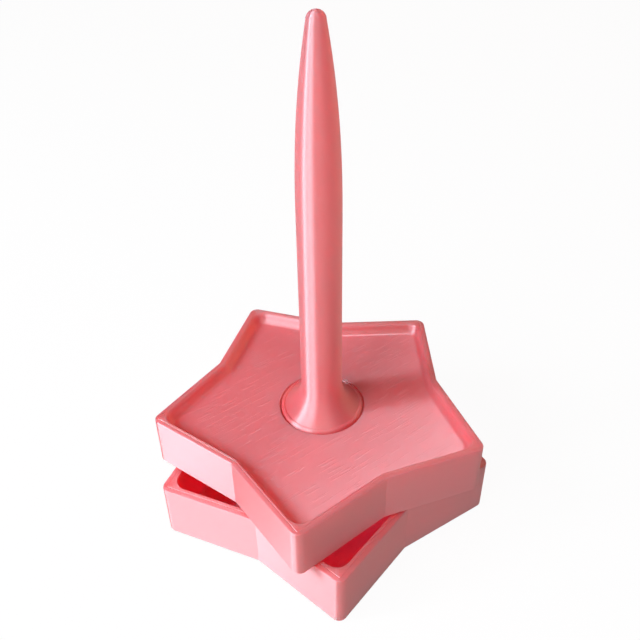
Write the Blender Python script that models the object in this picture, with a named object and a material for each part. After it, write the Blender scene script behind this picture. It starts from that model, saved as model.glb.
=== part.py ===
"""Yarn ball holder: a star-shaped cup, a second star that turns on it as a shallow tray, and a tapered post.

Metres, +Z up. The origin is on the table, under the axis on which the upper star turns.
"""

from math import asin, cos, hypot, pi, radians, sin, sqrt, tau

import bmesh
import bpy
from mathutils import Matrix

MM = 0.001

# Fits that all pieces share
GAP = 0.3 * MM
OVERRUN = 2.0 * MM
WELD = 0.001 * MM

# Both stars
ARMS = 5
NOTCH_SHARE = 0.713
TIP_ROUNDING = 4.0 * MM
NOTCH_ROUNDING = 1.5 * MM
EDGE_ROUNDING = 1.0 * MM
FLOOR_FILLET = 2.8 * MM
FLOOR_TIP_ROUNDING = 3.2 * MM

# Lower star
BASE_TIP_RADIUS = 82.0 * MM
BASE_HEIGHT = 29.3 * MM
BASE_WALL = 4.2 * MM
BASE_FLOOR = 3.0 * MM
HUB_RADIUS = 15.0 * MM
HUB_FILLET = 3.0 * MM
HUB_CHAMFER = 0.8 * MM

# Grip pad under the lower star
PAD_RADIUS = 48.0 * MM
PAD_THICKNESS = 2.0 * MM
PAD_PROUD = 1.0 * MM
PAD_CHAMFER = 0.4 * MM

# Upper star
TRAY_TIP_RADIUS = 80.0 * MM
TRAY_HEIGHT = 26.0 * MM
TRAY_WALL = 3.6 * MM
TRAY_RECESS = 5.0 * MM
TRAY_TURN = radians(-12.4)
WEB_THICKNESS = 3.8 * MM
POCKET_CHAMFER = 0.5 * MM

# Post
POST_HEIGHT = 183.5 * MM
POST_RADIUS = 9.45 * MM
POST_TIP_FLAT = 0.3 * MM
POST_TIP_ROUNDING = 3.4 * MM
TAPER_LENGTH = 78.4 * MM
TAPER_POWER = 2.35
FLARE_RADIUS = 16.5 * MM
FLARE_ANGLE = radians(60)
FLARE_SINK = 0.3 * MM
FOOT_BEAD = 1.6 * MM
FOOT_EDGE = 1.0 * MM
FOOT_RISE = 1.0 * MM
FOOT_RECESS = 2.0 * MM
FOOT_CLEARANCE = 1.1 * MM
BOSS_RADIUS = 15.0 * MM
BOSS_CHAMFER = 1.0 * MM
HEAD_CLEARANCE = 1.5 * MM
HEAD_HEADROOM = 1.0 * MM

# Ball bearing
BEARING_BORE_RADIUS = 4.0 * MM
BEARING_RADIUS = 11.0 * MM
BEARING_WIDTH = 7.0 * MM
BALL_COUNT = 7
BALL_RADIUS = 1.985 * MM
BALL_CLEARANCE = 0.12 * MM
LAND_OFFSET = 1.3 * MM
RACE_CHAMFER = 0.3 * MM
SHIELD_THICKNESS = 0.3 * MM
SHIELD_SINK = 0.1 * MM
SHIELD_SEAT = 0.7 * MM
SHIELD_CLEARANCE = 0.2 * MM
CAGE_SIDE_CLEARANCE = 0.5 * MM
CAGE_HORN = 1.1 * MM
POCKET_CLEARANCE = 0.15 * MM

# Bolt, insert and shim rings
SHANK_CLEARANCE = 0.3 * MM
BOLT_LENGTH = 30.0 * MM
BOLT_TIP_CHAMFER = 0.8 * MM
BOLT_END_ROOM = 1.0 * MM
HEAD_FLATS = 13.0 * MM
HEAD_HEIGHT = 5.3 * MM
HEAD_TOP_SHARE = 0.95
HEAD_SLOPE = radians(30)
SHIM_THICKNESS = 1.0 * MM
SHIM_RADIUS = 6.0 * MM
INSERT_RADIUS = 5.0 * MM
INSERT_LENGTH = 12.0 * MM
INSERT_WAIST_DEPTH = 0.4 * MM
INSERT_WAIST_SHARES = (0.42, 0.58)

# Facets
TIP_STEPS = 6
NOTCH_STEPS = 2
EDGE_STEPS = 3
FILLET_STEPS = 4
TAPER_STEPS = 11
WIDE_TURN = 48
RACE_TURN = 36
NARROW_TURN = 24
POCKET_TURN = 16
BALL_RINGS = 8
BALL_TURN = 12
SMOOTH_BELOW = radians(35)

# Heights that the pieces stack up to, from the table
BASE_BOTTOM = PAD_PROUD
BASE_TOP = BASE_BOTTOM + BASE_HEIGHT
LOWER_SHIM_BOTTOM = BASE_TOP + GAP
BEARING_BOTTOM = LOWER_SHIM_BOTTOM + SHIM_THICKNESS + GAP
BEARING_TOP = BEARING_BOTTOM + BEARING_WIDTH
BEARING_MIDDLE = BEARING_BOTTOM + BEARING_WIDTH / 2
UPPER_SHIM_BOTTOM = BEARING_TOP + GAP
HEAD_BOTTOM = UPPER_SHIM_BOTTOM + SHIM_THICKNESS + GAP
HEAD_TOP = HEAD_BOTTOM + HEAD_HEIGHT
TRAY_BOTTOM = BEARING_BOTTOM
TRAY_TOP = TRAY_BOTTOM + TRAY_HEIGHT
TRAY_FLOOR = TRAY_TOP - TRAY_RECESS
SHOULDER = BEARING_TOP + GAP
SOCKET_FLOOR = SHOULDER + WEB_THICKNESS
FOOT_BOTTOM = TRAY_FLOOR - FOOT_RECESS + GAP
BOSS_BOTTOM = SOCKET_FLOOR + GAP

# Radii that neighbours share
PITCH_RADIUS = (BEARING_BORE_RADIUS + BEARING_RADIUS) / 2
INNER_LAND = PITCH_RADIUS - LAND_OFFSET
OUTER_LAND = PITCH_RADIUS + LAND_OFFSET
GROOVE_RADIUS = BALL_RADIUS + BALL_CLEARANCE
SHIELD_SEAT_RADIUS = OUTER_LAND + SHIELD_SEAT
SHIELD_INNER_FACE = BEARING_WIDTH / 2 - SHIELD_SINK - SHIELD_THICKNESS
SHIELD_SEAT_FLOOR = SHIELD_INNER_FACE - SHIELD_CLEARANCE
SHANK_RADIUS = BEARING_BORE_RADIUS - SHANK_CLEARANCE
HEAD_CORNER_RADIUS = HEAD_FLATS / 2 / cos(pi / 6)
BOSS_BORE_RADIUS = HEAD_CORNER_RADIUS + HEAD_CLEARANCE
POST_TIP_RADIUS = POST_TIP_FLAT + POST_TIP_ROUNDING
FLARE_END = POST_RADIUS + FLARE_RADIUS * (1 - cos(FLARE_ANGLE))
FOOT_RADIUS = FLARE_END + FOOT_BEAD


def clear_scene():
    for thing in list(bpy.data.objects):
        bpy.data.objects.remove(thing)


def linear_colour(code):
    """Linear red, green, blue and alpha of a colour written as six hexadecimal digits."""
    channels = [int(code[place : place + 2], 16) / 255 for place in (0, 2, 4)]
    curve = [c / 12.92 if c <= 0.04045 else ((c + 0.055) / 1.055) ** 2.4 for c in channels]
    return (*curve, 1.0)


def make_material(name, code, roughness, metallic=0.0):
    material = bpy.data.materials.new(name)
    material.use_nodes = True
    shader = material.node_tree.nodes["Principled BSDF"]
    shader.inputs["Base Color"].default_value = linear_colour(code)
    shader.inputs["Roughness"].default_value = roughness
    shader.inputs["Metallic"].default_value = metallic
    return material


def make_frame(name, height, turn=0.0):
    """An empty on the turning axis, which carries the pieces of one moving group."""
    empty = bpy.data.objects.new(name, None)
    empty.location.z = height
    empty.rotation_euler.z = turn
    bpy.context.collection.objects.link(empty)
    return empty


def make_object(name, mesh, parent, height=0.0, material=None):
    """An object whose own origin lies on its parent's axis, `height` above the parent."""
    thing = bpy.data.objects.new(name, mesh)
    thing.parent = parent
    thing.location.z = height
    bpy.context.collection.objects.link(thing)
    if material and not mesh.materials:
        mesh.materials.append(material)
    return thing


def finish_mesh(name, bm):
    """The closed mesh of a bmesh, faces out and shaded smooth between sharp edges."""
    bmesh.ops.remove_doubles(bm, verts=bm.verts, dist=WELD)
    bmesh.ops.recalc_face_normals(bm, faces=bm.faces)
    mesh = bpy.data.meshes.new(name)
    bm.to_mesh(mesh)
    bm.free()
    mesh.shade_smooth()
    mesh.set_sharp_from_angle(angle=SMOOTH_BELOW)
    return mesh


def turned_mesh(name, profile, steps, ring=False):
    """A profile of (radius, height) points spun round Z, from the axis back to it or as a closed ring."""
    bm = bmesh.new()
    points = [bm.verts.new((radius, 0, height)) for radius, height in profile]
    pairs = list(zip(points, points[1:]))
    if ring:
        pairs.append((points[-1], points[0]))
    edges = [bm.edges.new(pair) for pair in pairs]
    bmesh.ops.spin(
        bm,
        geom=points + edges,
        cent=(0, 0, 0),
        axis=(0, 0, 1),
        angle=tau,
        steps=steps,
        use_merge=True,
    )
    return finish_mesh(name, bm)


def combine(thing, mesh, operation):
    """Cuts, joins or intersects an object with a hidden one that stands on the same axis."""
    tool = make_object(mesh.name, mesh, thing.parent, thing.location.z)
    tool.hide_render = True
    tool.display_type = "WIRE"
    modifier = thing.modifiers.new(mesh.name, "BOOLEAN")
    modifier.object = tool
    modifier.operation = operation
    modifier.solver = "EXACT"


def arc(centre, radius, start, end, steps):
    """Points (radius, height) from one angle to another, counted from the outward direction upwards."""
    angles = [start + (end - start) * step / steps for step in range(steps + 1)]
    return [(centre[0] + radius * cos(a), centre[1] + radius * sin(a)) for a in angles]


def star_ring(tip_radius, inset, tip_rounding, notch_rounding, height):
    """One level of a star. Its walls lie `inset` inside those of the sharp star with this tip radius."""
    notch_radius = tip_radius * NOTCH_SHARE
    half_arm = pi / ARMS
    side = hypot(tip_radius - notch_radius * cos(half_arm), notch_radius * sin(half_arm))
    half_tip = asin(notch_radius * sin(half_arm) / side)
    half_notch = half_arm + half_tip
    scale = 1 - inset / (tip_radius * sin(half_tip))
    tip_centre = tip_radius * scale - tip_rounding / sin(half_tip)
    notch_centre = notch_radius * scale + notch_rounding / sin(half_notch)
    ring = []
    for arm in range(ARMS):
        tip_way = tau * arm / ARMS - pi / 2
        notch_way = tip_way + half_arm
        for step in range(TIP_STEPS + 1):
            a = tip_way + (pi / 2 - half_tip) * (2 * step / TIP_STEPS - 1)
            x = tip_centre * cos(tip_way) + tip_rounding * cos(a)
            y = tip_centre * sin(tip_way) + tip_rounding * sin(a)
            ring.append((x, y, height))
        for step in range(NOTCH_STEPS + 1):
            a = notch_way + pi - (pi / 2 - half_notch) * (2 * step / NOTCH_STEPS - 1)
            x = notch_centre * cos(notch_way) + notch_rounding * cos(a)
            y = notch_centre * sin(notch_way) + notch_rounding * sin(a)
            ring.append((x, y, height))
    return ring


def wall_ring(tip_radius, wall, offset, height):
    """A level of a star's wall, moved inwards from the wall's own line by `offset`."""
    inset, tip_rounding, notch_rounding = wall
    return star_ring(tip_radius, inset + offset, tip_rounding - offset, notch_rounding + offset, height)


def quarter_turn(radius, steps):
    """How far a quarter round lies from each of its two faces, from the one that it touches first."""
    angles = [pi / 2 * step / steps for step in range(steps + 1)]
    return [(radius * (1 - cos(a)), radius * (1 - sin(a))) for a in angles]


def star_shell(name, tip_radius, wall, height, floor):
    """A star standing at zero, hollow from above down to `floor`, with rounded edges and a filleted floor."""
    outer = (0, TIP_ROUNDING, NOTCH_ROUNDING)
    inner = (wall, FLOOR_TIP_ROUNDING + FLOOR_FILLET, NOTCH_ROUNDING + wall)
    edge = quarter_turn(EDGE_ROUNDING, EDGE_STEPS)
    rings = [wall_ring(tip_radius, outer, far, near) for near, far in edge]
    rings += [wall_ring(tip_radius, outer, near, height - far) for near, far in edge]
    rings += [wall_ring(tip_radius, inner, -far, height - near) for near, far in edge]
    fillet = quarter_turn(FLOOR_FILLET, FILLET_STEPS)
    rings += [wall_ring(tip_radius, inner, near, floor + far) for near, far in fillet]
    bm = bmesh.new()
    loops = [[bm.verts.new(point) for point in ring] for ring in rings]
    for below, above in zip(loops, loops[1:]):
        for side in range(len(below)):
            bm.faces.new((below[side - 1], below[side], above[side], above[side - 1]))
    bm.faces.new(loops[0][::-1])
    bm.faces.new(loops[-1])
    return finish_mesh(name, bm)


def make_base_tray(frame):
    """The lower star: an open cup with a hub in its middle, which carries the bolt."""
    plastic = make_material("base_tray_plastic", "E8808C", 0.38)
    shell = star_shell("base_tray", BASE_TIP_RADIUS, BASE_WALL, BASE_HEIGHT, BASE_FLOOR)
    tray = make_object("base_tray", shell, frame, BASE_BOTTOM, plastic)
    sunk = BASE_FLOOR / 2
    fillet_centre = (HUB_RADIUS + HUB_FILLET, BASE_FLOOR + HUB_FILLET)
    hub = [
        (0, BASE_HEIGHT),
        (HUB_RADIUS - HUB_CHAMFER, BASE_HEIGHT),
        (HUB_RADIUS, BASE_HEIGHT - HUB_CHAMFER),
        *arc(fillet_centre, HUB_FILLET, pi, 3 * pi / 2, FILLET_STEPS),
        (HUB_RADIUS + HUB_FILLET, sunk),
        (0, sunk),
    ]
    combine(tray, turned_mesh("hub", hub, WIDE_TURN), "UNION")
    pocket_radius = INSERT_RADIUS + GAP
    pocket_floor = BASE_HEIGHT - INSERT_LENGTH - GAP * 2
    bore_floor = HEAD_BOTTOM - BOLT_LENGTH - BOLT_END_ROOM - BASE_BOTTOM
    pocket = [
        (0, BASE_HEIGHT + OVERRUN),
        (pocket_radius, BASE_HEIGHT + OVERRUN),
        (pocket_radius, pocket_floor),
        (BEARING_BORE_RADIUS, pocket_floor),
        (BEARING_BORE_RADIUS, bore_floor),
        (0, bore_floor),
    ]
    combine(tray, turned_mesh("insert_pocket", pocket, NARROW_TURN), "DIFFERENCE")
    recess_radius = PAD_RADIUS + GAP
    recess_top = PAD_THICKNESS - PAD_PROUD + GAP
    recess = [(0, recess_top), (recess_radius, recess_top), (recess_radius, -OVERRUN), (0, -OVERRUN)]
    combine(tray, turned_mesh("pad_recess", recess, WIDE_TURN), "DIFFERENCE")


def make_grip_pad(frame):
    rubber = make_material("grip_pad_rubber", "2B2A2C", 0.85)
    disc = [
        (0, PAD_THICKNESS),
        (PAD_RADIUS, PAD_THICKNESS),
        (PAD_RADIUS, PAD_CHAMFER),
        (PAD_RADIUS - PAD_CHAMFER, 0),
        (0, 0),
    ]
    make_object("grip_pad", turned_mesh("grip_pad", disc, WIDE_TURN), frame, 0, rubber)


def make_thread_insert(frame):
    """A brass sleeve with two gripping bands and a waist between them."""
    brass = make_material("thread_insert_brass", "C9A24E", 0.35, 1.0)
    waist_radius = INSERT_RADIUS - INSERT_WAIST_DEPTH
    waist_bottom, waist_top = (INSERT_LENGTH * share for share in INSERT_WAIST_SHARES)
    sleeve = [
        (INSERT_RADIUS, INSERT_LENGTH),
        (INSERT_RADIUS, waist_top + INSERT_WAIST_DEPTH),
        (waist_radius, waist_top),
        (waist_radius, waist_bottom),
        (INSERT_RADIUS, waist_bottom - INSERT_WAIST_DEPTH),
        (INSERT_RADIUS, 0),
        (BEARING_BORE_RADIUS, 0),
        (BEARING_BORE_RADIUS, INSERT_LENGTH),
    ]
    mesh = turned_mesh("thread_insert", sleeve, NARROW_TURN, ring=True)
    make_object("thread_insert", mesh, frame, BASE_TOP - GAP - INSERT_LENGTH, brass)


def make_shim_rings(frame):
    for name, bottom in (("shim_ring_lower", LOWER_SHIM_BOTTOM), ("shim_ring_upper", UPPER_SHIM_BOTTOM)):
        steel = make_material(name + "_steel", "B9BABC", 0.35, 1.0)
        ring = [
            (SHIM_RADIUS, SHIM_THICKNESS),
            (SHIM_RADIUS, 0),
            (BEARING_BORE_RADIUS, 0),
            (BEARING_BORE_RADIUS, SHIM_THICKNESS),
        ]
        make_object(name, turned_mesh(name, ring, NARROW_TURN, ring=True), frame, bottom, steel)


def make_axle_bolt(frame):
    """A hexagon bolt, head up. Its own zero is the underside of the head."""
    steel = make_material("axle_bolt_steel", "A9ABAE", 0.3, 1.0)
    bm = bmesh.new()
    middle = Matrix.Translation((0, 0, HEAD_HEIGHT / 2))
    bmesh.ops.create_cone(
        bm,
        cap_ends=True,
        segments=6,
        radius1=HEAD_CORNER_RADIUS,
        radius2=HEAD_CORNER_RADIUS,
        depth=HEAD_HEIGHT,
        matrix=middle,
    )
    bolt = make_object("axle_bolt", finish_mesh("axle_bolt", bm), frame, HEAD_BOTTOM, steel)
    top_radius = HEAD_FLATS / 2 * HEAD_TOP_SHARE
    cone_radius = HEAD_CORNER_RADIUS + OVERRUN
    cone_foot = HEAD_HEIGHT - (cone_radius - top_radius) * sin(HEAD_SLOPE) / cos(HEAD_SLOPE)
    cone = [
        (0, HEAD_HEIGHT),
        (top_radius, HEAD_HEIGHT),
        (cone_radius, cone_foot),
        (cone_radius, -OVERRUN),
        (0, -OVERRUN),
    ]
    combine(bolt, turned_mesh("head_cone", cone, WIDE_TURN), "INTERSECT")
    shank = [
        (0, HEAD_HEIGHT / 2),
        (SHANK_RADIUS, HEAD_HEIGHT / 2),
        (SHANK_RADIUS, BOLT_TIP_CHAMFER - BOLT_LENGTH),
        (SHANK_RADIUS - BOLT_TIP_CHAMFER, -BOLT_LENGTH),
        (0, -BOLT_LENGTH),
    ]
    combine(bolt, turned_mesh("bolt_shank", shank, NARROW_TURN), "UNION")


def groove(side):
    """Half the cross-section of the balls' track, on the race outside (side 1) or inside (side -1) them."""
    half_height = sqrt(GROOVE_RADIUS**2 - LAND_OFFSET**2)
    reach = asin(half_height / GROOVE_RADIUS)
    start, end = (-reach, reach) if side > 0 else (pi - reach, pi + reach)
    return arc((PITCH_RADIUS, 0), GROOVE_RADIUS, start, end, 2 * FILLET_STEPS)


def make_outer_race(frame):
    steel = make_material("bearing_outer_race_steel", "C4C6C9", 0.22, 1.0)
    half = BEARING_WIDTH / 2
    race = [
        (BEARING_RADIUS - RACE_CHAMFER, half),
        (BEARING_RADIUS, half - RACE_CHAMFER),
        (BEARING_RADIUS, RACE_CHAMFER - half),
        (BEARING_RADIUS - RACE_CHAMFER, -half),
        (SHIELD_SEAT_RADIUS, -half),
        (SHIELD_SEAT_RADIUS, -SHIELD_SEAT_FLOOR),
        (OUTER_LAND, -SHIELD_SEAT_FLOOR),
        *groove(1),
        (OUTER_LAND, SHIELD_SEAT_FLOOR),
        (SHIELD_SEAT_RADIUS, SHIELD_SEAT_FLOOR),
        (SHIELD_SEAT_RADIUS, half),
    ]
    mesh = turned_mesh("bearing_outer_race", race, RACE_TURN, ring=True)
    make_object("bearing_outer_race", mesh, frame, BEARING_MIDDLE - TRAY_BOTTOM, steel)


def make_inner_race(frame):
    steel = make_material("bearing_inner_race_steel", "C4C6C9", 0.22, 1.0)
    half = BEARING_WIDTH / 2
    race = [
        (INNER_LAND, half),
        *groove(-1),
        (INNER_LAND, -half),
        (BEARING_BORE_RADIUS + RACE_CHAMFER, -half),
        (BEARING_BORE_RADIUS, RACE_CHAMFER - half),
        (BEARING_BORE_RADIUS, half - RACE_CHAMFER),
        (BEARING_BORE_RADIUS + RACE_CHAMFER, half),
    ]
    mesh = turned_mesh("bearing_inner_race", race, RACE_TURN, ring=True)
    make_object("bearing_inner_race", mesh, frame, BEARING_MIDDLE, steel)


def make_bearing_shields(frame):
    inner_radius = INNER_LAND + GAP
    outer_radius = SHIELD_SEAT_RADIUS - SHIELD_CLEARANCE
    middle = BEARING_MIDDLE - TRAY_BOTTOM
    upper = middle + SHIELD_INNER_FACE
    lower = middle - SHIELD_INNER_FACE - SHIELD_THICKNESS
    for name, bottom in (("bearing_shield_upper", upper), ("bearing_shield_lower", lower)):
        steel = make_material(name + "_steel", "B4B6B9", 0.4, 1.0)
        disc = [
            (outer_radius, SHIELD_THICKNESS),
            (outer_radius, 0),
            (inner_radius, 0),
            (inner_radius, SHIELD_THICKNESS),
        ]
        make_object(name, turned_mesh(name, disc, RACE_TURN, ring=True), frame, bottom, steel)


def make_bearing_cage(frame):
    """A crown cage: a ring under the balls, with a pocket for each that is open above."""
    nylon = make_material("bearing_cage_nylon", "E4DFD2", 0.5)
    half_thickness = LAND_OFFSET - CAGE_SIDE_CLEARANCE
    bottom = SHIELD_CLEARANCE - SHIELD_INNER_FACE
    ring = [
        (PITCH_RADIUS + half_thickness, CAGE_HORN),
        (PITCH_RADIUS + half_thickness, bottom),
        (PITCH_RADIUS - half_thickness, bottom),
        (PITCH_RADIUS - half_thickness, CAGE_HORN),
    ]
    mesh = turned_mesh("bearing_cage", ring, RACE_TURN, ring=True)
    cage = make_object("bearing_cage", mesh, frame, 0, nylon)
    bm = bmesh.new()
    for ball in range(BALL_COUNT):
        turn = Matrix.Rotation(tau * ball / BALL_COUNT, 4, "Z")
        out = Matrix.Translation((PITCH_RADIUS, 0, 0))
        lie = Matrix.Rotation(pi / 2, 4, "Y")
        bmesh.ops.create_cone(
            bm,
            cap_ends=True,
            segments=POCKET_TURN,
            radius1=BALL_RADIUS + POCKET_CLEARANCE,
            radius2=BALL_RADIUS + POCKET_CLEARANCE,
            depth=2 * (half_thickness + CAGE_SIDE_CLEARANCE),
            matrix=turn @ out @ lie,
        )
    combine(cage, finish_mesh("ball_pockets", bm), "DIFFERENCE")


def make_bearing_balls(frame):
    steel = make_material("bearing_ball_steel", "D2D4D7", 0.12, 1.0)
    bm = bmesh.new()
    bmesh.ops.create_uvsphere(bm, u_segments=BALL_TURN, v_segments=BALL_RINGS, radius=BALL_RADIUS)
    mesh = finish_mesh("bearing_ball", bm)
    for ball in range(BALL_COUNT):
        way = tau * ball / BALL_COUNT
        thing = make_object(f"bearing_ball_{ball + 1}", mesh, frame, 0, steel)
        thing.location.x = PITCH_RADIUS * cos(way)
        thing.location.y = PITCH_RADIUS * sin(way)
        thing.rotation_euler.z = way


def make_turntable_tray(frame):
    """The upper star: a thick slab with a shallow recess, bored for the post, the bolt's head and the bearing."""
    plastic = make_material("turntable_tray_plastic", "E8808C", 0.38)
    floor = TRAY_FLOOR - TRAY_BOTTOM
    shell = star_shell("turntable_tray", TRAY_TIP_RADIUS, TRAY_WALL, TRAY_HEIGHT, floor)
    tray = make_object("turntable_tray", shell, frame, 0, plastic)
    foot_radius = FOOT_RADIUS + FOOT_CLEARANCE
    foot_floor = floor - FOOT_RECESS
    socket_radius = BOSS_RADIUS + GAP
    socket_floor = SOCKET_FLOOR - TRAY_BOTTOM
    shoulder = SHOULDER - TRAY_BOTTOM
    pocket_radius = BEARING_RADIUS + GAP
    opening = [
        (0, floor + OVERRUN),
        (foot_radius, floor + OVERRUN),
        (foot_radius, foot_floor),
        (socket_radius, foot_floor),
        (socket_radius, socket_floor),
        (SHIELD_SEAT_RADIUS, socket_floor),
        (SHIELD_SEAT_RADIUS, shoulder),
        (pocket_radius, shoulder),
        (pocket_radius, POCKET_CHAMFER),
        (pocket_radius + POCKET_CHAMFER + OVERRUN, -OVERRUN),
        (0, -OVERRUN),
    ]
    combine(tray, turned_mesh("middle_opening", opening, WIDE_TURN), "DIFFERENCE")


def make_post(frame):
    """The spindle: a foot that flares into the shaft, a long taper and a hollow boss over the bolt's head."""
    plastic = make_material("post_plastic", "EC8894", 0.34)
    foot_top = FOOT_RECESS - GAP + FOOT_RISE
    tip = FOOT_RECESS - GAP + POST_HEIGHT
    taper_top = tip - POST_TIP_ROUNDING
    slimming = POST_RADIUS - POST_TIP_RADIUS
    tip_centre = (POST_TIP_FLAT, taper_top)
    flare_bottom = foot_top - FLARE_SINK
    flare_centre = (POST_RADIUS + FLARE_RADIUS, flare_bottom + FLARE_RADIUS * sin(FLARE_ANGLE))
    edge_centre = (FOOT_RADIUS - FOOT_EDGE, foot_top - FOOT_EDGE)
    boss_bottom = BOSS_BOTTOM - FOOT_BOTTOM
    bore_top = HEAD_TOP + HEAD_HEADROOM - FOOT_BOTTOM
    taper = []
    for step in range(TAPER_STEPS + 1):
        down = step / TAPER_STEPS
        radius = POST_RADIUS - slimming * (1 - down) ** TAPER_POWER
        taper.append((radius, taper_top - TAPER_LENGTH * down))
    profile = [
        (0, tip),
        *arc(tip_centre, POST_TIP_ROUNDING, pi / 2, 0, FILLET_STEPS),
        *taper[1:],
        *arc(flare_centre, FLARE_RADIUS, pi, pi + FLARE_ANGLE, 2 * FILLET_STEPS),
        (FLARE_END + FLARE_SINK, foot_top),
        *arc(edge_centre, FOOT_EDGE, pi / 2, 0, EDGE_STEPS),
        (FOOT_RADIUS, 0),
        (BOSS_RADIUS, 0),
        (BOSS_RADIUS, boss_bottom + BOSS_CHAMFER),
        (BOSS_RADIUS - BOSS_CHAMFER, boss_bottom),
        (BOSS_BORE_RADIUS, boss_bottom),
        (BOSS_BORE_RADIUS, bore_top),
        (0, bore_top),
    ]
    mesh = turned_mesh("post", profile, WIDE_TURN)
    make_object("post", mesh, frame, FOOT_BOTTOM - TRAY_BOTTOM, plastic)


def main():
    clear_scene()
    base_frame = make_frame("base_frame", 0)
    turntable_frame = make_frame("turntable_frame", TRAY_BOTTOM, TRAY_TURN)
    cage_frame = make_frame("cage_frame", BEARING_MIDDLE)
    make_base_tray(base_frame)
    make_grip_pad(base_frame)
    make_thread_insert(base_frame)
    make_shim_rings(base_frame)
    make_axle_bolt(base_frame)
    make_inner_race(base_frame)
    make_bearing_cage(cage_frame)
    make_bearing_balls(cage_frame)
    make_outer_race(turntable_frame)
    make_bearing_shields(turntable_frame)
    make_turntable_tray(turntable_frame)
    make_post(turntable_frame)
    bpy.context.view_layer.update()


main()
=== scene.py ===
from math import asin, atan2, cos, hypot, pi, radians, sin, tan, tau

import bmesh
import bpy
from mathutils import Matrix, Vector


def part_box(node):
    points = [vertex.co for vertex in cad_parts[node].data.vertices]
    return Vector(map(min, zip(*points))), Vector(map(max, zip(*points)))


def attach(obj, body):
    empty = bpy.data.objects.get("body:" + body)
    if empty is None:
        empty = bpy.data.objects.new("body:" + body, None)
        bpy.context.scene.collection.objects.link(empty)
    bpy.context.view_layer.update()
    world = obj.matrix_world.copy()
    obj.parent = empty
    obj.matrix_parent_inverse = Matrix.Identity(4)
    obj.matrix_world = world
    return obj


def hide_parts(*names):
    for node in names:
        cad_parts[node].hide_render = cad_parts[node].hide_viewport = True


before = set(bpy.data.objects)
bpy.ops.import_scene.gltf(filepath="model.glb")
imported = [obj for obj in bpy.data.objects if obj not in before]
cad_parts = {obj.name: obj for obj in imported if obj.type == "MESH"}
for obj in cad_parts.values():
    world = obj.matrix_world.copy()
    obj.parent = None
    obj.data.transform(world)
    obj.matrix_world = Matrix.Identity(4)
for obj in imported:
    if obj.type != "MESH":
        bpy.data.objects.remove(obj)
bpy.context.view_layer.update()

MM = 0.001

# Both printed stars
ARMS = 5
NOTCH_SHARE = 0.713
TIP_ROUNDING = 4.0 * MM
NOTCH_ROUNDING = 1.5 * MM
FOOT_ROUNDING = 1.0 * MM
OUTER_ROUNDING = 0.5 * MM
INNER_ROUNDING = 1.3 * MM
FLOOR_FILLET = 2.8 * MM
INNER_TIP_ROUNDING = 6.0 * MM
CUP_TIP_RADIUS = 82.0 * MM
CUP_WALL = 4.2 * MM
CUP_FLOOR = 3.0 * MM
TRAY_TIP_RADIUS = 80.0 * MM
TRAY_WALL = 3.6 * MM
TRAY_RECESS = 5.0 * MM
TRAY_TURN = radians(-12.4)

# Half the angle between the sides of a sharp arm, and of a sharp notch
ARM_SIDE = hypot(1 - NOTCH_SHARE * cos(pi / ARMS), NOTCH_SHARE * sin(pi / ARMS))
HALF_TIP = asin(NOTCH_SHARE * sin(pi / ARMS) / ARM_SIDE)
HALF_NOTCH = pi / ARMS + HALF_TIP

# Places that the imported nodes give
CUP_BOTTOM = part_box("base_tray")[0][2]
CUP_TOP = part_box("base_tray")[1][2]
TRAY_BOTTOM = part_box("turntable_tray")[0][2]
TRAY_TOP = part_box("turntable_tray")[1][2]
TRAY_FLOOR = TRAY_TOP - TRAY_RECESS
POST_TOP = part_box("post")[1][2]
BOSS_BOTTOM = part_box("post")[0][2]
HEAD_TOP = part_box("axle_bolt")[1][2]
BOLT_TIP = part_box("axle_bolt")[0][2]
BEARING_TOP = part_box("bearing_outer_race")[1][2]
BEARING_RADIUS = 11.0 * MM
PAD_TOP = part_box("grip_pad")[1][2]
INSERT_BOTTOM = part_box("thread_insert")[0][2]

# How far a cutting shape runs past the piece, and how near two points are to count as one
OVERRUN = 2.0 * MM
WELD = 0.001 * MM

# Fits and the holes in the stars
GAP = 0.3 * MM
HUB_RADIUS = 15.0 * MM
HUB_FILLET = 3.0 * MM
HUB_CHAMFER = 0.8 * MM
PAD_RADIUS = 48.0 * MM
INSERT_RADIUS = 5.0 * MM
BORE_RADIUS = 4.0 * MM
BOLT_END_ROOM = 1.0 * MM
WEB_THICKNESS = 3.8 * MM
WEB_HOLE_RADIUS = 9.5 * MM
FOOT_RECESS = 2.0 * MM
FOOT_CLEARANCE = 1.1 * MM

# Post
POST_RADIUS = 9.45 * MM
POST_TIP_FLAT = 0.3 * MM
POST_TIP_ROUNDING = 3.4 * MM
POST_TIP_RADIUS = POST_TIP_FLAT + POST_TIP_ROUNDING
TAPER_LENGTH = 78.4 * MM
TAPER_POWER = 2.35
FLARE_RADIUS = 16.5 * MM
FLARE_ANGLE = radians(60)
FLARE_END = POST_RADIUS + FLARE_RADIUS * (1 - cos(FLARE_ANGLE))
FLARE_SINK = 0.3 * MM
FOOT_RADIUS = FLARE_END + 1.6 * MM
FOOT_EDGE = 1.0 * MM
FOOT_RISE = 1.0 * MM
BOSS_RADIUS = 15.0 * MM
BOSS_CHAMFER = 1.0 * MM
BOSS_BORE_RADIUS = 9.0 * MM
HEAD_HEADROOM = 1.0 * MM

# Facets of the fine surface
TURN_STEPS = 128
TIP_SEGMENTS = 14
NOTCH_SEGMENTS = 4
EDGE_SEGMENTS = 5
FILLET_SEGMENTS = 8
FLARE_SEGMENTS = 24
TAPER_STEPS = 40
SHARP_ANGLE = radians(38)
LEVEL_WITHIN = radians(20)

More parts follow.
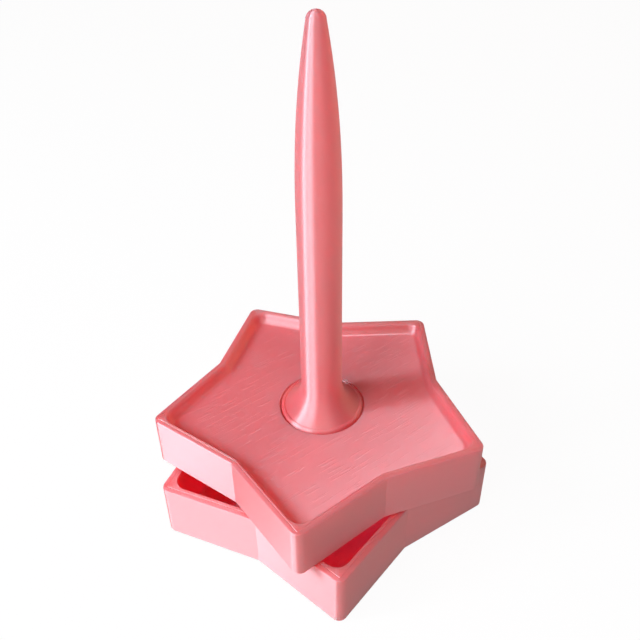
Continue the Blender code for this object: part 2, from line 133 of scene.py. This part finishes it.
# Printed lines. Lengths and widths are in millimetres, as the UV map is, and heights are shares of the relief
LINES = "lines"
RASTER_ANGLE = radians(135)
RELIEF = 0.05 * MM
LAYERS_PITCH = 0.6
LAYERS_HEIGHT = 0.035
STREAK_LENGTH = 30.0
BAND_WIDTH = 1.2
BAND_HEIGHT = 0.1
LINE_WIDTH = 0.45
LINE_HEIGHT = 0.08
STROKE_LENGTH = 14.0
STROKE_WIDTH = 0.7
# The noise level from which a line stands up, and the one at which it has its full height
STROKE_START = 0.64
STROKE_FULL = 0.7
ZIGZAG_PITCH = 1.65
ZIGZAG_HEIGHT = 0.3
GROOVE_PLACE = 0.3
GROOVE_HALF = 0.3
GROOVE_DEPTH = 3.0

# Silk plastic: the skins' paler pink than the walls is a painted sheen of the room's light, and a rim shines less
# evenly
WALL_SILK = "FE7277"
SKIN_SILK_WITH_PAINTED_SHEEN = "FE8287"
SILK_ROUGHNESS = 0.5
SILK_IOR = 2.15
SILK_SHINE = 1.0
SILK_ORDER = 1.0
RIM_ORDER = 0.5
# The shine spreads across the lines, a quarter of a turn from the way they run
QUARTER_TURN = 0.25

# How far red light wanders inside the prints, which are mostly hollow, and the shares of it for the three colours
CUP_DEPTH = 11.0 * MM
TRAY_DEPTH = 12.0 * MM
POST_DEPTH = 40.0 * MM
FOOT_DEPTH = 3.0 * MM
FOOT_REACH = 15.0 * MM
WANDER_SHARES = (1.0, 0.25, 0.3)

# Places of the three finishes in a printed star's list of materials
WALLS, SKINS, RIMS = range(3)

# Depth of the fine grain on metal, nylon and rubber
GRAIN_DEPTH = 0.02 * MM

# Camera, fitted to the photograph. Its place is given from the middle of the tray's rim, its lens in millimetres
CAMERA_BACK = 254.75 * MM
CAMERA_UP = 243.5 * MM
CAMERA_TURN = radians(-4.53)
CAMERA_PITCH = radians(34.70)
CAMERA_ROLL = radians(-0.88)
LENS = 41.03
SENSOR = 36.0
SHIFT_Y = -0.0625

# Stage
WHITE = "FFFFFF"
FLOOR_HALF = 6.0
FLOOR_DROP = 0.1 * MM
FLOOR_GLOW = 0.95
FLOOR_BOUNCE = "B8A89E"
BACKDROP_TOP = radians(10)
ROOM = "F4F6FA"
ROOM_STRENGTH = 0.02

# Lamps round the tray: azimuth and elevation in degrees, distance, width and height in metres, watts and colour
LAMPS = {
    "window_pane_far": (190, 34, 1.5, 0.2, 0.64, 8.6, "EEF3FF"),
    "window_pane_middle": (196, 32, 1.52, 0.7, 0.7, 9.5, "EEF3FF"),
    "window_pane_near": (225, 28, 1.5, 0.6, 0.8, 13.0, "EEF3FF"),
    "sky_behind": (42, 42, 1.5, 0.7, 0.7, 2.6, "FFA484"),
    "low_behind": (90, 8, 1.5, 0.8, 0.3, 2.0, "FFE0C8"),
    "ceiling_front": (250, 58, 1.5, 1.2, 0.8, 1.5, "FFD8C0"),
    "ceiling_above": (270, 78, 1.5, 1.0, 1.0, 4.8, "FFF4F0"),
    "wall_right": (20, 34, 1.5, 1.0, 0.8, 1.0, "FFC8A8"),
}

# The lamp inside the cup, and the one on the upper post
GLOW_WIDTH = 90 * MM
GLOW_POWER = 0.0145
GLOW_RED = "FF3C68"
WARM_DROP = 28 * MM
WARM_AZIMUTH = -40
WARM_ELEVATION = 5
WARM_DISTANCE = 0.7
WARM_RADIUS = 0.06
WARM_CONE = radians(22)
WARM_POWER = 7.0
WARM_RED = "FF3020"


def linear_colour(code):
    """Linear red, green, blue and alpha of an sRGB colour written as six hexadecimal digits."""
    channels = [int(code[place : place + 2], 16) / 255 for place in (0, 2, 4)]
    curve = [c / 12.92 if c <= 0.04045 else ((c + 0.055) / 1.055) ** 2.4 for c in channels]
    return (*curve, 1.0)


def add_node(tree, kind, inputs=None, **settings):
    """A node with its settings. Each input is a value or the output socket that feeds it."""
    node = tree.nodes.new(kind)
    for name, value in settings.items():
        setattr(node, name, value)
    for name, value in (inputs or {}).items():
        if isinstance(value, bpy.types.NodeSocket):
            tree.links.new(value, node.inputs[name])
        else:
            node.inputs[name].default_value = value
    return node


def new_material(name):
    material = bpy.data.materials.new(name)
    material.use_nodes = True
    material.node_tree.nodes.clear()
    return material, material.node_tree


def close_material(tree, shader):
    add_node(tree, "ShaderNodeOutputMaterial", {"Surface": shader.outputs[0]})


def silk_shader(tree, height, colour, depth, order=SILK_ORDER):
    """The filament itself: glossy along its lines, dull across them, and translucent enough to glow where thin."""
    bump = add_node(tree, "ShaderNodeBump", {"Strength": 1.0, "Distance": RELIEF, "Height": height.outputs[0]})
    along = add_node(tree, "ShaderNodeTangent", direction_type="UV_MAP", uv_map=LINES)
    return add_node(
        tree,
        "ShaderNodeBsdfPrincipled",
        {
            "Base Color": linear_colour(colour),
            "Roughness": SILK_ROUGHNESS,
            "IOR": SILK_IOR,
            "Specular IOR Level": SILK_SHINE,
            "Anisotropic": order,
            "Anisotropic Rotation": QUARTER_TURN,
            "Subsurface Weight": 1.0,
            "Subsurface Radius": WANDER_SHARES,
            "Subsurface Scale": depth,
            "Normal": bump.outputs[0],
            "Tangent": along.outputs[0],
        },
    )


def streaks(tree, place, length, width, detail):
    """Long soft streaks along the printed lines, of this length and width in millimetres."""
    stretched = add_node(tree, "ShaderNodeMapping", {"Vector": place, "Scale": (1 / length, 1 / width, 1.0)})
    return add_node(tree, "ShaderNodeTexNoise", {"Vector": stretched.outputs[0], "Scale": 1.0, "Detail": detail})


def make_wall_silk(part, depth, foot_depth=None):
    """Silk PLA, printed in layers. The lines lie level, so they draw each highlight out into an upright band."""
    material, tree = new_material(f"silk_pla_{part}_walls")
    place = add_node(tree, "ShaderNodeUVMap", uv_map=LINES).outputs["UV"]
    axes = add_node(tree, "ShaderNodeSeparateXYZ", {"Vector": place})
    # The layers are 0.2 mm thick, too fine to show, so every third one is drawn
    turns = add_node(
        tree, "ShaderNodeMath", {0: axes.outputs["Y"], 1: tau / LAYERS_PITCH}, operation="MULTIPLY"
    )
    ridges = add_node(tree, "ShaderNodeMath", {0: turns.outputs[0]}, operation="SINE")
    bands = streaks(tree, place, STREAK_LENGTH, BAND_WIDTH, 2.0)
    faint = add_node(tree, "ShaderNodeMath", {0: bands.outputs[0], 1: BAND_HEIGHT}, operation="MULTIPLY")
    height = add_node(
        tree,
        "ShaderNodeMath",
        {0: ridges.outputs[0], 1: LAYERS_HEIGHT, 2: faint.outputs[0]},
        operation="MULTIPLY_ADD",
    )
    if foot_depth:
        # Light runs out of the thin foot sooner than out of the shaft
        spot = add_node(tree, "ShaderNodeTexCoord").outputs["Object"]
        levels = add_node(tree, "ShaderNodeSeparateXYZ", {"Vector": spot})
        depth = add_node(
            tree,
            "ShaderNodeMapRange",
            {
                "Value": levels.outputs["Z"],
                "From Min": TRAY_FLOOR,
                "From Max": TRAY_FLOOR + FOOT_REACH,
                "To Min": foot_depth,
                "To Max": depth,
            },
        ).outputs[0]
    close_material(tree, silk_shader(tree, height, WALL_SILK, depth))
    return material


def make_skin_silk(part, depth):
    """The level faces of a silk PLA print, filled with straight lines side by side. Here and there one stands up."""
    material, tree = new_material(f"silk_pla_{part}_skins")
    place = add_node(tree, "ShaderNodeUVMap", uv_map=LINES).outputs["UV"]
    fine = streaks(tree, place, STREAK_LENGTH, LINE_WIDTH, 1.0)
    proud = streaks(tree, place, STROKE_WIDTH, STROKE_LENGTH, 0.0)
    strokes = add_node(
        tree,
        "ShaderNodeMapRange",
        {"Value": proud.outputs[0], "From Min": STROKE_START, "From Max": STROKE_FULL},
    )
    faint = add_node(tree, "ShaderNodeMath", {0: fine.outputs[0], 1: LINE_HEIGHT}, operation="MULTIPLY")
    height = add_node(tree, "ShaderNodeMath", {0: strokes.outputs[0], 1: faint.outputs[0]}, operation="ADD")
    # The skins' paler pink is a painted sheen, standing in for the room's light on level faces
    close_material(tree, silk_shader(tree, height, SKIN_SILK_WITH_PAINTED_SHEEN, depth))
    return material


def make_rim_silk(part, depth):
    """The narrow top of a printed wall: a fine groove between its two outlines, and a faint zigzag outside it."""
    material, tree = new_material(f"silk_pla_{part}_rims")
    place = add_node(tree, "ShaderNodeUVMap", uv_map=LINES).outputs["UV"]
    axes = add_node(tree, "ShaderNodeSeparateXYZ", {"Vector": place})
    aslant = add_node(tree, "ShaderNodeMath", {0: axes.outputs["X"], 1: axes.outputs["Y"]}, operation="ADD")
    turns = add_node(tree, "ShaderNodeMath", {0: aslant.outputs[0], 1: tau / ZIGZAG_PITCH}, operation="MULTIPLY")
    waves = add_node(tree, "ShaderNodeMath", {0: turns.outputs[0]}, operation="SINE")
    zigzag = add_node(tree, "ShaderNodeMath", {0: waves.outputs[0], 1: ZIGZAG_HEIGHT}, operation="MULTIPLY")
    off = add_node(tree, "ShaderNodeMath", {0: axes.outputs["Y"], 1: GROOVE_PLACE}, operation="SUBTRACT")
    aside = add_node(tree, "ShaderNodeMath", {0: off.outputs[0]}, operation="ABSOLUTE")
    groove = add_node(
        tree,
        "ShaderNodeMapRange",
        {"Value": aside.outputs[0], "From Max": GROOVE_HALF, "To Max": GROOVE_DEPTH},
        interpolation_type="SMOOTHSTEP",
    )
    height = add_node(tree, "ShaderNodeMath", {0: groove.outputs[0], 1: zigzag.outputs[0]}, operation="ADD")
    close_material(tree, silk_shader(tree, height, WALL_SILK, depth, RIM_ORDER))
    return material


def make_plain(name, code, roughness, metallic, grain, strength):
    """A finish with one colour and a fine grain of the given size."""
    material, tree = new_material(name)
    place = add_node(tree, "ShaderNodeTexCoord").outputs["Object"]
    noise = add_node(tree, "ShaderNodeTexNoise", {"Vector": place, "Scale": 1 / grain, "Detail": 3.0})
    bump = add_node(
        tree, "ShaderNodeBump", {"Strength": strength, "Distance": GRAIN_DEPTH, "Height": noise.outputs[0]}
    )
    shader = add_node(
        tree,
        "ShaderNodeBsdfPrincipled",
        {
            "Base Color": linear_colour(code),
            "Roughness": roughness,
            "Metallic": metallic,
            "Normal": bump.outputs[0],
        },
    )
    close_material(tree, shader)
    return material


def star_face(bm, tip_radius, inset, tip_rounding, notch_rounding, height):
    """A level star with rounded corners. Its sides lie `inset` inside those of the sharp star of this tip radius."""
    radius = tip_radius - inset / sin(HALF_TIP)
    tips = []
    notches = []
    for arm in range(ARMS):
        a = tau * arm / ARMS - pi / 2
        tips.append(bm.verts.new((radius * cos(a), radius * sin(a), height)))
        a += pi / ARMS
        notches.append(bm.verts.new((radius * NOTCH_SHARE * cos(a), radius * NOTCH_SHARE * sin(a), height)))
    bm.faces.new([corner for pair in zip(tips, notches) for corner in pair])
    for corners, reach, segments in (
        (tips, tip_rounding / tan(HALF_TIP), TIP_SEGMENTS),
        (notches, notch_rounding / tan(HALF_NOTCH), NOTCH_SEGMENTS),
    ):
        bmesh.ops.bevel(
            bm,
            geom=corners,
            offset=reach,
            offset_type="OFFSET",
            segments=segments,
            profile=0.5,
            affect="VERTICES",
            material=-1,
        )


def draw_out(bm, edges, places):
    """Draws a ring of edges out to new places, which it takes in the order of their way round Z."""
    made = bmesh.ops.extrude_edge_only(bm, edges=edges)["geom"]
    verts = [part for part in made if isinstance(part, bmesh.types.BMVert)]
    verts.sort(key=lambda vert: atan2(vert.co.y, vert.co.x))
    places = sorted(places, key=lambda place: atan2(place.y, place.x))
    for vert, place in zip(verts, places):
        vert.co = place
    ring = set(verts)
    return [part for part in made if isinstance(part, bmesh.types.BMEdge) and set(part.verts) <= ring]


def round_edges(bm, edges, radius, segments):
    bmesh.ops.bevel(
        bm,
        geom=edges,
        offset=radius,
        offset_type="OFFSET",
        segments=segments,
        profile=0.5,
        affect="EDGES",
        material=-1,
    )


def star_shell(tip_radius, wall, inner_rounding, bottom, top, floor):
    """A star, hollow from above down to `floor`, with rounded edges and a filleted floor."""
    bm = bmesh.new()
    star_face(bm, tip_radius, 0, TIP_ROUNDING, NOTCH_ROUNDING, bottom)
    outside = [vert.co.copy() for vert in bm.verts]
    lower = list(bm.edges)
    hollow = bmesh.new()
    star_face(hollow, tip_radius, wall, INNER_TIP_ROUNDING, NOTCH_ROUNDING + wall, floor)
    inside = [vert.co.copy() for vert in hollow.verts]
    hollow.free()
    outer_rim = draw_out(bm, lower, [Vector((place.x, place.y, top)) for place in outside])
    inner_rim = draw_out(bm, outer_rim, [Vector((place.x, place.y, top)) for place in inside])
    floor_edges = draw_out(bm, inner_rim, inside)
    bmesh.ops.edgeloop_fill(bm, edges=floor_edges)
    bmesh.ops.recalc_face_normals(bm, faces=bm.faces)
    round_edges(bm, floor_edges, FLOOR_FILLET, FILLET_SEGMENTS)
    round_edges(bm, inner_rim, inner_rounding, EDGE_SEGMENTS)
    round_edges(bm, outer_rim, OUTER_ROUNDING, EDGE_SEGMENTS)
    round_edges(bm, lower, FOOT_ROUNDING, EDGE_SEGMENTS)
    return bm


def arc(centre, radius, start, end, steps):
    """Points (radius, height) from one angle to another, counted from the outward direction upwards."""
    angles = [start + (end - start) * step / steps for step in range(steps + 1)]
    return [(centre[0] + radius * cos(a), centre[1] + radius * sin(a)) for a in angles]


def turn_profile(profile):
    """A profile of (radius, height) points spun round Z, from the axis back to it."""
    bm = bmesh.new()
    points = [bm.verts.new((radius, 0, height)) for radius, height in profile]
    edges = [bm.edges.new(pair) for pair in zip(points, points[1:])]
    bmesh.ops.spin(
        bm,
        geom=points + edges,
        cent=(0, 0, 0),
        axis=(0, 0, 1),
        angle=tau,
        steps=TURN_STEPS,
        use_merge=True,
    )
    bmesh.ops.remove_doubles(bm, verts=bm.verts, dist=WELD)
    bmesh.ops.recalc_face_normals(bm, faces=bm.faces)
    return bm


def to_object(name, bm, turn=0.0):
    """A mesh object at the origin, its shape turned about Z where the piece stands turned."""
    bmesh.ops.rotate(bm, verts=bm.verts, cent=(0, 0, 0), matrix=Matrix.Rotation(turn, 3, "Z"))
    mesh = bpy.data.meshes.new(name)
    bm.to_mesh(mesh)
    bm.free()
    thing = bpy.data.objects.new(name, mesh)
    bpy.context.collection.objects.link(thing)
    return thing


def combine(thing, bm, operation):
    """Cuts or joins a piece with a shape on the same axis, and keeps the result as the piece's own mesh."""
    tool = to_object("tool", bm)
    modifier = thing.modifiers.new("combine", "BOOLEAN")
    modifier.object = tool
    modifier.operation = operation
    modifier.solver = "EXACT"
    settle(thing)
    bpy.data.objects.remove(tool)


def settle(thing):
    """Makes what the modifiers show the piece's own mesh."""
    graph = bpy.context.evaluated_depsgraph_get()
    mesh = bpy.data.meshes.new_from_object(thing.evaluated_get(graph))
    thing.modifiers.clear()
    thing.data = mesh


def outward(place, turn):
    """The level direction that the nearest side of a star faces, for a place near its rim."""
    step = tau / ARMS
    way = atan2(place.y, place.x) + pi / 2 - turn
    arm = round(way / step)
    side = 1 if way > arm * step else -1
    a = arm * step - pi / 2 + turn + side * (pi / 2 - HALF_TIP)
    return Vector((cos(a), sin(a), 0))


def lay_lines(thing, turn, rim=None):
    """A UV map in millimetres, whose U runs along the printed lines and V across them.

    The lines lie level round the walls, follow the wall along a rim, and run aslant over the other level faces.
    A rim is given by its star's tip radius, its wall and its height. Without one, level faces are ringed."""
    bm = bmesh.new()
    bm.from_mesh(thing.data)
    bm.normal_update()
    lines = bm.loops.layers.uv.new(LINES)
    for face in bm.faces:
        middle = face.calc_center_median()
        origin = Vector()
        face.material_index = WALLS
        along = Vector((-face.normal.y, face.normal.x, 0))
        if abs(face.normal.z) > cos(LEVEL_WITHIN) and rim is None:
            along = Vector((-middle.y, middle.x, 0))
        elif abs(face.normal.z) > cos(LEVEL_WITHIN):
            tip_radius, wall, height = rim
            out = outward(middle, turn)
            centre_line = out * (tip_radius * sin(HALF_TIP) - wall / 2)
            if abs(middle.z - height) < OUTER_ROUNDING / 2 and abs((middle - centre_line).dot(out)) < wall / 2:
                face.material_index = RIMS
                along = Vector((-out.y, out.x, 0))
                origin = centre_line
            else:
                face.material_index = SKINS
                along = Vector((cos(turn + RASTER_ANGLE), sin(turn + RASTER_ANGLE), 0))
        along.normalize()
        across = face.normal.cross(along)
        for loop in face.loops:
            place = loop.vert.co
            loop[lines].uv = (place.dot(along) / MM, (place - origin).dot(across) / MM)
    bm.to_mesh(thing.data)
    bm.free()


def finish_print(thing, silks, body, node, turn=0.0, rim=None):
    """Smooths a printed piece, lays its lines and lets it stand for its node."""
    mesh = thing.data
    mesh.materials.clear()
    for silk in silks:
        mesh.materials.append(silk)
    lay_lines(thing, turn, rim)
    mesh.shade_smooth()
    mesh.set_sharp_from_angle(angle=SHARP_ANGLE)
    weighted = thing.modifiers.new("weighted", "WEIGHTED_NORMAL")
    weighted.keep_sharp = True
    settle(thing)
    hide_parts(node)
    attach(thing, body)


def make_cup(silks):
    """The lower star: an open cup with a hub that takes the bolt."""
    floor = CUP_BOTTOM + CUP_FLOOR
    cup = to_object("cup_print", star_shell(CUP_TIP_RADIUS, CUP_WALL, OUTER_ROUNDING, CUP_BOTTOM, CUP_TOP, floor))
    sunk = CUP_BOTTOM + CUP_FLOOR / 2
    hub = [
        (0, CUP_TOP),
        (HUB_RADIUS - HUB_CHAMFER, CUP_TOP),
        (HUB_RADIUS, CUP_TOP - HUB_CHAMFER),
        *arc((HUB_RADIUS + HUB_FILLET, floor + HUB_FILLET), HUB_FILLET, pi, 3 * pi / 2, FILLET_SEGMENTS),
        (HUB_RADIUS + HUB_FILLET, sunk),
        (0, sunk),
    ]
    combine(cup, turn_profile(hub), "UNION")
    pocket_radius = INSERT_RADIUS + GAP
    pocket_floor = INSERT_BOTTOM - GAP
    bore_floor = BOLT_TIP - BOLT_END_ROOM
    pocket = [
        (0, CUP_TOP + OVERRUN),
        (pocket_radius, CUP_TOP + OVERRUN),
        (pocket_radius, pocket_floor),
        (BORE_RADIUS, pocket_floor),
        (BORE_RADIUS, bore_floor),
        (0, bore_floor),
    ]
    combine(cup, turn_profile(pocket), "DIFFERENCE")
    recess_radius = PAD_RADIUS + GAP
    recess_top = PAD_TOP + GAP
    recess = [(0, recess_top), (recess_radius, recess_top), (recess_radius, -OVERRUN), (0, -OVERRUN)]
    combine(cup, turn_profile(recess), "DIFFERENCE")
    finish_print(cup, silks, "base", "base_tray", 0.0, (CUP_TIP_RADIUS, CUP_WALL, CUP_TOP))


def make_tray(silks):
    """The upper star: a slab with a shallow recess, bored for the post, the bolt's head and the bearing."""
    shell = star_shell(TRAY_TIP_RADIUS, TRAY_WALL, INNER_ROUNDING, TRAY_BOTTOM, TRAY_TOP, TRAY_FLOOR)
    tray = to_object("tray_print", shell, TRAY_TURN)
    foot_radius = FOOT_RADIUS + FOOT_CLEARANCE
    foot_floor = TRAY_FLOOR - FOOT_RECESS
    socket_radius = BOSS_RADIUS + GAP
    shoulder = BEARING_TOP + GAP
    socket_floor = shoulder + WEB_THICKNESS
    pocket_radius = BEARING_RADIUS + GAP
    opening = [
        (0, TRAY_FLOOR + OVERRUN),
        (foot_radius, TRAY_FLOOR + OVERRUN),
        (foot_radius, foot_floor),
        (socket_radius, foot_floor),
        (socket_radius, socket_floor),
        (WEB_HOLE_RADIUS, socket_floor),
        (WEB_HOLE_RADIUS, shoulder),
        (pocket_radius, shoulder),
        (pocket_radius, TRAY_BOTTOM - OVERRUN),
        (0, TRAY_BOTTOM - OVERRUN),
    ]
    combine(tray, turn_profile(opening), "DIFFERENCE")
    finish_print(tray, silks, "turntable", "turntable_tray", TRAY_TURN, (TRAY_TIP_RADIUS, TRAY_WALL, TRAY_TOP))


def make_post(silks):
    """The spindle, with its flared foot, its taper and the hollow boss below."""
    foot_bottom = TRAY_FLOOR - FOOT_RECESS + GAP
    foot_top = TRAY_FLOOR + FOOT_RISE
    taper_top = POST_TOP - POST_TIP_ROUNDING
    slimming = POST_RADIUS - POST_TIP_RADIUS
    taper = []
    for step in range(TAPER_STEPS + 1):
        down = step / TAPER_STEPS
        radius = POST_RADIUS - slimming * (1 - down) ** TAPER_POWER
        taper.append((radius, taper_top - TAPER_LENGTH * down))
    tip_centre = (POST_TIP_FLAT, taper_top)
    flare_centre = (POST_RADIUS + FLARE_RADIUS, foot_top - FLARE_SINK + FLARE_RADIUS * sin(FLARE_ANGLE))
    edge_centre = (FOOT_RADIUS - FOOT_EDGE, foot_top - FOOT_EDGE)
    profile = [
        (0, POST_TOP),
        *arc(tip_centre, POST_TIP_ROUNDING, pi / 2, 0, FILLET_SEGMENTS),
        *taper[1:],
        *arc(flare_centre, FLARE_RADIUS, pi, pi + FLARE_ANGLE, FLARE_SEGMENTS),
        (FLARE_END + FLARE_SINK, foot_top),
        *arc(edge_centre, FOOT_EDGE, pi / 2, 0, EDGE_SEGMENTS),
        (FOOT_RADIUS, foot_bottom),
        (BOSS_RADIUS, foot_bottom),
        (BOSS_RADIUS, BOSS_BOTTOM + BOSS_CHAMFER),
        (BOSS_RADIUS - BOSS_CHAMFER, BOSS_BOTTOM),
        (BOSS_BORE_RADIUS, BOSS_BOTTOM),
        (BOSS_BORE_RADIUS, HEAD_TOP + HEAD_HEADROOM),
        (0, HEAD_TOP + HEAD_HEADROOM),
    ]
    post = to_object("post_print", turn_profile(profile))
    finish_print(post, silks, "post", "post")


def dress_nodes():
    """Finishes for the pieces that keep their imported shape: colour, roughness, metal, grain and its strength."""
    # Plated steel: a cool pale grey with a soft, slightly broken shine
    steel = make_plain("bright_zinc_steel", "B4B6B8", 0.32, 1.0, 0.4 * MM, 0.2)
    # Ground steel: the brightest and smoothest metal here, near to a mirror
    ground = make_plain("ground_bearing_steel", "C8CACC", 0.16, 1.0, 0.2 * MM, 0.08)
    # Moulded nylon: warm white, half matt, so that the balls stand out from their cage
    nylon = make_plain("moulded_nylon", "E4DFD2", 0.5, 0.0, 0.3 * MM, 0.2)
    # Turned brass: a warm yellow beside the grey of the bolt
    brass = make_plain("turned_brass", "C9A24E", 0.3, 1.0, 0.3 * MM, 0.2)
    # Sheet rubber: near black, dull and grainy
    rubber = make_plain("sheet_rubber", "2B2A2C", 0.8, 0.0, 0.5 * MM, 0.6)
    finishes = {
        "axle_bolt": steel,
        "shim_ring_lower": steel,
        "shim_ring_upper": steel,
        "bearing_shield_upper": steel,
        "bearing_shield_lower": steel,
        "bearing_inner_race": ground,
        "bearing_outer_race": ground,
        "bearing_cage": nylon,
        "thread_insert": brass,
        "grip_pad": rubber,
    }
    for name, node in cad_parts.items():
        finish = ground if name.startswith("bearing_ball") else finishes.get(name)
        if finish:
            node.data.materials.clear()
            node.data.materials.append(finish)


def make_floor():
    """A floor that camera and reflections see as white with a soft shadow. The light it sends back is beige."""
    material, tree = new_material("white_floor")
    path = add_node(tree, "ShaderNodeLightPath")
    seen = add_node(
        tree,
        "ShaderNodeMath",
        {0: path.outputs["Is Camera Ray"], 1: path.outputs["Is Glossy Ray"]},
        operation="MAXIMUM",
    )
    seen = add_node(
        tree,
        "ShaderNodeMath",
        {0: seen.outputs[0], 1: path.outputs["Is Transmission Ray"]},
        operation="MAXIMUM",
    )
    share = add_node(tree, "ShaderNodeMath", {0: seen.outputs[0], 1: FLOOR_GLOW}, operation="MULTIPLY")
    bounce = add_node(tree, "ShaderNodeBsdfDiffuse", {"Color": linear_colour(FLOOR_BOUNCE)})
    white = add_node(tree, "ShaderNodeBsdfDiffuse", {"Color": linear_colour(WHITE)})
    matt = add_node(
        tree, "ShaderNodeMixShader", {0: seen.outputs[0], 1: bounce.outputs[0], 2: white.outputs[0]}
    )
    glow = add_node(tree, "ShaderNodeEmission", {"Color": linear_colour(WHITE), "Strength": 1.0})
    mixed = add_node(
        tree, "ShaderNodeMixShader", {0: share.outputs[0], 1: matt.outputs[0], 2: glow.outputs[0]}
    )
    close_material(tree, mixed)
    bm = bmesh.new()
    bmesh.ops.create_grid(bm, x_segments=1, y_segments=1, size=FLOOR_HALF)
    bmesh.ops.translate(bm, verts=bm.verts, vec=(0, 0, -FLOOR_DROP))
    floor = to_object("floor", bm)
    floor.data.materials.append(material)


def make_world():
    """A dim room behind a low white backdrop, which the camera sees everywhere and reflections see low down."""
    world = bpy.data.worlds.new("soft_room")
    world.use_nodes = True
    tree = world.node_tree
    tree.nodes.clear()
    path = add_node(tree, "ShaderNodeLightPath")
    way = add_node(tree, "ShaderNodeTexCoord").outputs["Generated"]
    axes = add_node(tree, "ShaderNodeSeparateXYZ", {"Vector": way})
    low = add_node(
        tree, "ShaderNodeMath", {0: axes.outputs["Z"], 1: sin(BACKDROP_TOP)}, operation="LESS_THAN"
    )
    shine = add_node(
        tree,
        "ShaderNodeMath",
        {0: path.outputs["Is Glossy Ray"], 1: path.outputs["Is Transmission Ray"]},
        operation="MAXIMUM",
    )
    shown = add_node(tree, "ShaderNodeMath", {0: shine.outputs[0], 1: low.outputs[0]}, operation="MULTIPLY")
    seen = add_node(
        tree, "ShaderNodeMath", {0: path.outputs["Is Camera Ray"], 1: shown.outputs[0]}, operation="MAXIMUM"
    )
    room = add_node(
        tree, "ShaderNodeBackground", {"Color": linear_colour(ROOM), "Strength": ROOM_STRENGTH}
    )
    white = add_node(tree, "ShaderNodeBackground", {"Color": linear_colour(WHITE), "Strength": 1.0})
    mixed = add_node(
        tree, "ShaderNodeMixShader", {0: seen.outputs[0], 1: room.outputs[0], 2: white.outputs[0]}
    )
    add_node(tree, "ShaderNodeOutputWorld", {"Surface": mixed.outputs[0]})
    bpy.context.scene.world = world


def add_lamp(name, kind, power, code):
    lamp = bpy.data.lights.new(name, kind)
    lamp.energy = power
    lamp.color = linear_colour(code)[:3]
    thing = bpy.data.objects.new(name, lamp)
    bpy.context.collection.objects.link(thing)
    return thing


def face_lamp(thing, aim, azimuth, elevation, distance):
    """Hangs a lamp so that it faces a place. Its azimuth is counted in degrees from +X towards +Y."""
    a, e = radians(azimuth), radians(elevation)
    back = Vector((cos(a) * cos(e), sin(a) * cos(e), sin(e)))
    thing.location = aim + back * distance
    thing.rotation_euler = back.to_track_quat("Z", "Y").to_euler()


def make_room_lamps():
    """Soft rectangular lamps for the window, the ceiling and the walls of the room."""
    for name, (azimuth, elevation, distance, width, height, power, code) in LAMPS.items():
        thing = add_lamp(name, "AREA", power, code)
        thing.data.shape = "RECTANGLE"
        thing.data.size = width
        thing.data.size_y = height
        face_lamp(thing, Vector((0, 0, TRAY_TOP)), azimuth, elevation, distance)


def make_glow_lamp():
    """A red lamp inside the cup, for the light that its thin walls let through and that few bounces lose."""
    thing = add_lamp("glow_in_cup", "AREA", GLOW_POWER, GLOW_RED)
    thing.data.shape = "DISK"
    thing.data.size = GLOW_WIDTH
    thing.location = (0, 0, CUP_TOP - GAP)


def make_warm_lamp():
    """A red lamp on the upper post alone, for the light that climbs inside the thin print. It gives no shine."""
    thing = add_lamp("warm_on_post", "SPOT", WARM_POWER, WARM_RED)
    thing.data.spot_size = WARM_CONE
    thing.data.spot_blend = 1.0
    thing.data.shadow_soft_size = WARM_RADIUS
    thing.visible_glossy = False
    face_lamp(thing, Vector((0, 0, POST_TOP - WARM_DROP)), WARM_AZIMUTH, WARM_ELEVATION, WARM_DISTANCE)


def make_camera():
    """The camera at the photograph's place: turned, pitched and rolled as the fit gives them."""
    data = bpy.data.cameras.new("camera")
    data.lens = LENS
    data.sensor_width = SENSOR
    data.shift_y = SHIFT_Y
    camera = bpy.data.objects.new("camera", data)
    turn = Matrix.Rotation(CAMERA_TURN, 4, "Z")
    place = Matrix.Translation((0, -CAMERA_BACK, CAMERA_UP + TRAY_TOP))
    pitch = Matrix.Rotation(pi / 2 - CAMERA_PITCH, 4, "X")
    roll = Matrix.Rotation(CAMERA_ROLL, 4, "Z")
    camera.matrix_world = turn @ place @ pitch @ roll
    bpy.context.collection.objects.link(camera)
    bpy.context.scene.camera = camera


bpy.context.scene.view_settings.view_transform = "Standard"
make_cup([make("cup", CUP_DEPTH) for make in (make_wall_silk, make_skin_silk, make_rim_silk)])
make_tray([make("tray", TRAY_DEPTH) for make in (make_wall_silk, make_skin_silk, make_rim_silk)])
make_post([make_wall_silk("post", POST_DEPTH, FOOT_DEPTH)])
dress_nodes()
make_floor()
make_world()
make_room_lamps()
make_glow_lamp()
make_warm_lamp()
make_camera()
